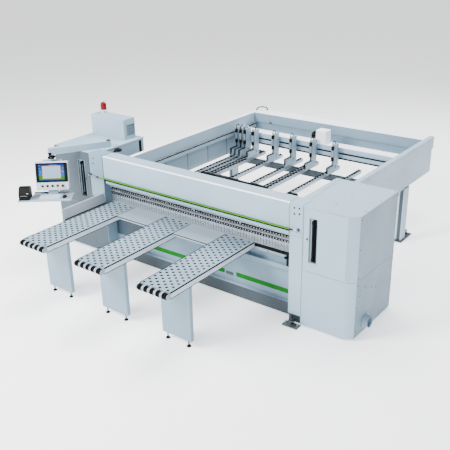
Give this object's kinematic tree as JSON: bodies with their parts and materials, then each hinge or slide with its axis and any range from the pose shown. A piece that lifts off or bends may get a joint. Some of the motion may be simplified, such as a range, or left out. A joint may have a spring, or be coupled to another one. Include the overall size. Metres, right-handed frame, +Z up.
{
  "type": "cnc_panel_saw",
  "caption": "CNC panel saw: beam saw with air tables, a gripper gantry on a rear frame, two cabinets and a swinging console",
  "frame": {"origin": "middle of the machine's bounding box on the floor", "axes": "X runs along the saw line to the operator's right, Y runs from the operator to the back, Z is up"},
  "size_m": [5.59, 6.0999, 2.286],
  "materials": {
    "light_paint": "fine textured powder coat, pale blue grey",
    "mid_paint": "fine textured powder coat, blue grey",
    "dark_paint": "satin slate grey enamel",
    "bright_steel": "ground and oiled steel",
    "black_plastic": "matt black plastic",
    "black_rubber": "black rubber, finely ribbed",
    "clear_pvc": "clear flexible PVC strip",
    "green_cord": "lime green sheathed cord",
    "red_lens": "translucent red dome",
    "red_plastic": "glossy red plastic",
    "green_plastic": "glossy green plastic",
    "white_paint": "white textured paint",
    "screen_black": "black bezel with a lit display"
  },
  "bodies": {
    "machine": {"base_plinth": "dark_paint", "base_panels": "light_paint", "edge_channel": "black_plastic", "front_table_plate": "bright_steel", "rear_table_plate": "bright_steel", "carriage_rails": "bright_steel", "left_column": "mid_paint", "right_column": "mid_paint", "levelling_feet": "black_plastic", "saw_beam": "light_paint", "lift_cylinders": "bright_steel", "pull_cord": "green_cord", "cord_fittings": "black_plastic", "air_table_1": "light_paint", "air_table_2": "light_paint", "air_table_3": "light_paint", "table_legs": "mid_paint", "fence": "light_paint", "left_cabinet": "mid_paint", "electrical_plate": "bright_steel", "right_cabinet": "light_paint", "dust_duct": "mid_paint", "cooling_box": "light_paint", "beacon_base": "black_plastic", "beacon_lens": "red_lens", "boom": "light_paint", "left_frame": "mid_paint", "right_frame": "mid_paint", "rear_frame": "light_paint", "track_stand": "dark_paint", "roller_tracks": "bright_steel", "track_rollers": "black_rubber"},
    "left_door": {"left_door": "mid_paint", "left_handle": "black_plastic"},
    "left_lock": {"left_lock": "black_plastic"},
    "right_door": {"right_door": "light_paint", "right_handle": "black_plastic"},
    "right_lock": {"right_lock": "black_plastic"},
    "console": {"console_arm": "mid_paint", "console_housing": "white_paint", "screen": "screen_black", "keyboard": "black_plastic", "label_printer": "black_plastic"},
    "selector": {"selector_switch": "bright_steel"},
    "stop_button": {"stop_button": "red_plastic"},
    "start_button": {"start_button": "green_plastic"},
    "reset_button": {"reset_button": "red_plastic"},
    "emergency_stop": {"emergency_stop": "red_plastic"},
    "pressure_beam": {"pressure_beam": "bright_steel"},
    "curtain": {"curtain": "clear_pvc"},
    "end_rollers": {"end_rollers": "black_rubber"},
    "gantry": {"gantry": "light_paint", "gantry_motor": "light_paint", "gripper_bodies": "mid_paint", "gripper_cylinders": "black_plastic"},
    "jaws": {"gripper_jaws": "black_plastic"},
    "saw_carriage": {"saw_carriage": "dark_paint"},
    "blade_lift": {"blade_lift": "dark_paint"},
    "main_blade": {"main_blade": "bright_steel"},
    "scoring_blade": {"scoring_blade": "bright_steel"}
  },
  "joints": [
    {"name": "left_door_swing", "type": "hinge", "parent": "machine", "child": "left_door", "pos_m": [-2.775, -1.325, 1.302], "axis": [0, 0, -1], "range_deg": [0, 12]},
    {"name": "left_lock_turn", "type": "hinge", "parent": "left_door", "child": "left_lock", "pos_m": [-2.085, -1.33, 1.312], "axis": [0, -1, 0], "range_deg": [0, 90]},
    {"name": "right_door_swing", "type": "hinge", "parent": "machine", "child": "right_door", "pos_m": [2.587, -1.325, 1.302], "axis": [0, 0, 1], "range_deg": [0, 110]},
    {"name": "right_lock_turn", "type": "hinge", "parent": "right_door", "child": "right_lock", "pos_m": [2.029, -1.33, 1.312], "axis": [0, -1, 0], "range_deg": [0, 90]},
    {"name": "console_swivel", "type": "hinge", "parent": "machine", "child": "console", "pos_m": [-2.412, -1.713, 1.74], "axis": [0, 0, -1], "range_deg": [-10, 70]},
    {"name": "selector_turn", "type": "hinge", "parent": "console", "child": "selector", "pos_m": [-2.43479, -1.93291, 1.29042], "axis": [-0.6231, 0.7506, -0.2198], "range_deg": [-45, 45]},
    {"name": "stop_press", "type": "slide", "parent": "console", "child": "stop_button", "axis": [-0.6231, 0.7506, -0.2198], "range_m": [0, 0.004], "stiffness_N_per_m": 400},
    {"name": "start_press", "type": "slide", "parent": "console", "child": "start_button", "axis": [-0.6231, 0.7506, -0.2198], "range_m": [0, 0.004], "stiffness_N_per_m": 400},
    {"name": "reset_press", "type": "slide", "parent": "console", "child": "reset_button", "axis": [-0.6231, 0.7506, -0.2198], "range_m": [0, 0.004], "stiffness_N_per_m": 400},
    {"name": "emergency_press", "type": "slide", "parent": "console", "child": "emergency_stop", "axis": [-0.6231, 0.7506, -0.2198], "range_m": [0, 0.006], "stiffness_N_per_m": 400},
    {"name": "pressure_beam_lower", "type": "slide", "parent": "machine", "child": "pressure_beam", "axis": [0, 0, 1], "range_m": [-0.11, 0]},
    {"name": "curtain_swing", "type": "hinge", "parent": "machine", "child": "curtain", "pos_m": [0.043, -1.2, 1.225], "axis": [-1, 0, 0], "range_deg": [0, 70]},
    {"name": "end_roller_spin", "type": "hinge", "parent": "machine", "child": "end_rollers", "pos_m": [-0.264, -3.01, 0.938], "axis": [1, 0, 0], "continuous": true},
    {"name": "gantry_travel", "type": "slide", "parent": "machine", "child": "gantry", "axis": [0, 1, 0], "range_m": [-2.7, 0.3]},
    {"name": "jaw_lift", "type": "slide", "parent": "gantry", "child": "jaws", "axis": [0, 0, 1], "range_m": [0, 0.05]},
    {"name": "carriage_travel", "type": "slide", "parent": "machine", "child": "saw_carriage", "axis": [1, 0, 0], "range_m": [0, 2.8]},
    {"name": "blade_rise", "type": "slide", "parent": "saw_carriage", "child": "blade_lift", "axis": [0, 0, 1], "range_m": [0, 0.125]},
    {"name": "main_blade_spin", "type": "hinge", "parent": "blade_lift", "child": "main_blade", "pos_m": [-1.467, -1.055, 0.745], "axis": [0, 1, 0], "continuous": true},
    {"name": "scoring_blade_spin", "type": "hinge", "parent": "blade_lift", "child": "scoring_blade", "pos_m": [-1.137, -1.055, 0.767], "axis": [0, 1, 0], "continuous": true}
  ]
}
